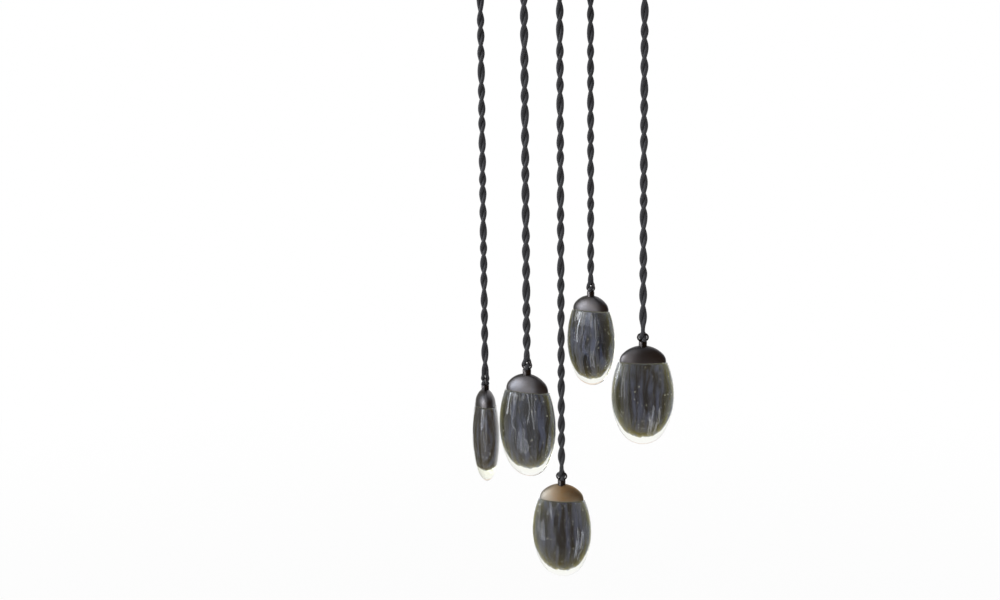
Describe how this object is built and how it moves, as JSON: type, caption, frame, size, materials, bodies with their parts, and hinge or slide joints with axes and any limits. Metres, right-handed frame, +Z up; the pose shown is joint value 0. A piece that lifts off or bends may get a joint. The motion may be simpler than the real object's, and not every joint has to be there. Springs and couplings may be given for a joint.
{
  "type": "pendant light",
  "caption": "Cluster pendant light: flattened clear glass pebbles under domed dark bronze caps, hung on twisted fabric flexes from a round ceiling canopy.",
  "frame": {"origin": "centre of the ceiling plate's screw circle, on the ceiling plane", "axes": "+Z up into the ceiling, +X to the right in the picture's view, +Y away from the viewer"},
  "size_m": [0.27, 0.27, 0.7529],
  "materials": {
    "zinc_steel": "satin zinc",
    "canopy_bronze": "satin dark bronze",
    "dark_bronze": "satin dark patina",
    "black_rubber": "matte",
    "driver_case": "matte",
    "terminal_plastic": "gloss",
    "stud_brass": "turned",
    "polished_steel": "polished",
    "flex_fabric": "woven, twisted pair",
    "sink_aluminium": "turned",
    "board_resin": "white mask with a yellow emitter",
    "clear_seal": "clear, satin",
    "smoke_glass": "clear, seeded, with a faint olive tint"
  },
  "bodies": {
    "canopy": {"ceiling_plate": "zinc_steel", "canopy_shell": "canopy_bronze", "canopy_screws": "dark_bronze", "cable_grommet": "black_rubber", "outlet_collars": "dark_bronze", "outlet_nuts": "zinc_steel", "led_driver": "driver_case", "driver_screws": "zinc_steel", "terminal_block": "terminal_plastic", "earth_stud": "stud_brass"},
    "ball_1": {"swivel_1": "polished_steel"},
    "hanging_flex_1": {"flex_stop_1": "zinc_steel", "flex_1": "flex_fabric"},
    "head_1": {"flex_tails_1": "flex_fabric", "hanging_eye_1": "polished_steel", "cap_1": "dark_bronze", "heat_sink_1": "sink_aluminium", "led_board_1": "board_resin", "seal_1": "clear_seal", "glass_1": "smoke_glass"},
    "ball_2": {"swivel_2": "polished_steel"},
    "hanging_flex_2": {"flex_stop_2": "zinc_steel", "flex_2": "flex_fabric"},
    "head_2": {"flex_tails_2": "flex_fabric", "hanging_eye_2": "polished_steel", "cap_2": "dark_bronze", "heat_sink_2": "sink_aluminium", "led_board_2": "board_resin", "seal_2": "clear_seal", "glass_2": "smoke_glass"},
    "ball_3": {"swivel_3": "polished_steel"},
    "hanging_flex_3": {"flex_stop_3": "zinc_steel", "flex_3": "flex_fabric"},
    "head_3": {"flex_tails_3": "flex_fabric", "hanging_eye_3": "polished_steel", "cap_3": "dark_bronze", "heat_sink_3": "sink_aluminium", "led_board_3": "board_resin", "seal_3": "clear_seal", "glass_3": "smoke_glass"},
    "ball_4": {"swivel_4": "polished_steel"},
    "hanging_flex_4": {"flex_stop_4": "zinc_steel", "flex_4": "flex_fabric"},
    "head_4": {"flex_tails_4": "flex_fabric", "hanging_eye_4": "polished_steel", "cap_4": "dark_bronze", "heat_sink_4": "sink_aluminium", "led_board_4": "board_resin", "seal_4": "clear_seal", "glass_4": "smoke_glass"},
    "ball_5": {"swivel_5": "polished_steel"},
    "hanging_flex_5": {"flex_stop_5": "zinc_steel", "flex_5": "flex_fabric"},
    "head_5": {"flex_tails_5": "flex_fabric", "hanging_eye_5": "polished_steel", "cap_5": "dark_bronze", "heat_sink_5": "sink_aluminium", "led_board_5": "board_resin", "seal_5": "clear_seal", "glass_5": "smoke_glass"}
  },
  "joints": [
    {"name": "swing_1", "type": "hinge", "parent": "canopy", "child": "ball_1", "pos_m": [-0.08905, 0.0421, -0.04], "axis": [1, 0, 0], "range_deg": [-5, 5]},
    {"name": "sway_1", "type": "hinge", "parent": "ball_1", "child": "hanging_flex_1", "pos_m": [-0.08905, 0.0421, -0.04], "axis": [0, 1, 0], "range_deg": [-5, 5]},
    {"name": "turn_1", "type": "hinge", "parent": "hanging_flex_1", "child": "head_1", "pos_m": [-0.08905, 0.0421, -0.516], "axis": [0, 0, 1], "range_deg": [-180, 180], "stiffness_Nm_per_rad": 0.001},
    {"name": "swing_2", "type": "hinge", "parent": "canopy", "child": "ball_2", "pos_m": [-0.0421, -0.08905, -0.04], "axis": [1, 0, 0], "range_deg": [-5, 5]},
    {"name": "sway_2", "type": "hinge", "parent": "ball_2", "child": "hanging_flex_2", "pos_m": [-0.0421, -0.08905, -0.04], "axis": [0, 1, 0], "range_deg": [-5, 5]},
    {"name": "turn_2", "type": "hinge", "parent": "hanging_flex_2", "child": "head_2", "pos_m": [-0.0421, -0.08905, -0.4724], "axis": [0, 0, 1], "range_deg": [-180, 180], "stiffness_Nm_per_rad": 0.001},
    {"name": "swing_3", "type": "hinge", "parent": "canopy", "child": "ball_3", "pos_m": [0.0421, 0.08905, -0.04], "axis": [1, 0, 0], "range_deg": [-5, 5]},
    {"name": "sway_3", "type": "hinge", "parent": "ball_3", "child": "hanging_flex_3", "pos_m": [0.0421, 0.08905, -0.04], "axis": [0, 1, 0], "range_deg": [-5, 5]},
    {"name": "turn_3", "type": "hinge", "parent": "hanging_flex_3", "child": "head_3", "pos_m": [0.0421, 0.08905, -0.4093], "axis": [0, 0, 1], "range_deg": [-180, 180], "stiffness_Nm_per_rad": 0.001},
    {"name": "swing_4", "type": "hinge", "parent": "canopy", "child": "ball_4", "pos_m": [0.08905, -0.0421, -0.04], "axis": [1, 0, 0], "range_deg": [-5, 5]},
    {"name": "sway_4", "type": "hinge", "parent": "ball_4", "child": "hanging_flex_4", "pos_m": [0.08905, -0.0421, -0.04], "axis": [0, 1, 0], "range_deg": [-5, 5]},
    {"name": "turn_4", "type": "hinge", "parent": "hanging_flex_4", "child": "head_4", "pos_m": [0.08905, -0.0421, -0.451], "axis": [0, 0, 1], "range_deg": [-180, 180], "stiffness_Nm_per_rad": 0.001},
    {"name": "swing_5", "type": "hinge", "parent": "canopy", "child": "ball_5", "pos_m": [0, 0, -0.04], "axis": [1, 0, 0], "range_deg": [-5, 5]},
    {"name": "sway_5", "type": "hinge", "parent": "ball_5", "child": "hanging_flex_5", "pos_m": [0, 0, -0.04], "axis": [0, 1, 0], "range_deg": [-5, 5]},
    {"name": "turn_5", "type": "hinge", "parent": "hanging_flex_5", "child": "head_5", "pos_m": [0, 0, -0.6219], "axis": [0, 0, 1], "range_deg": [-180, 180], "stiffness_Nm_per_rad": 0.001}
  ]
}
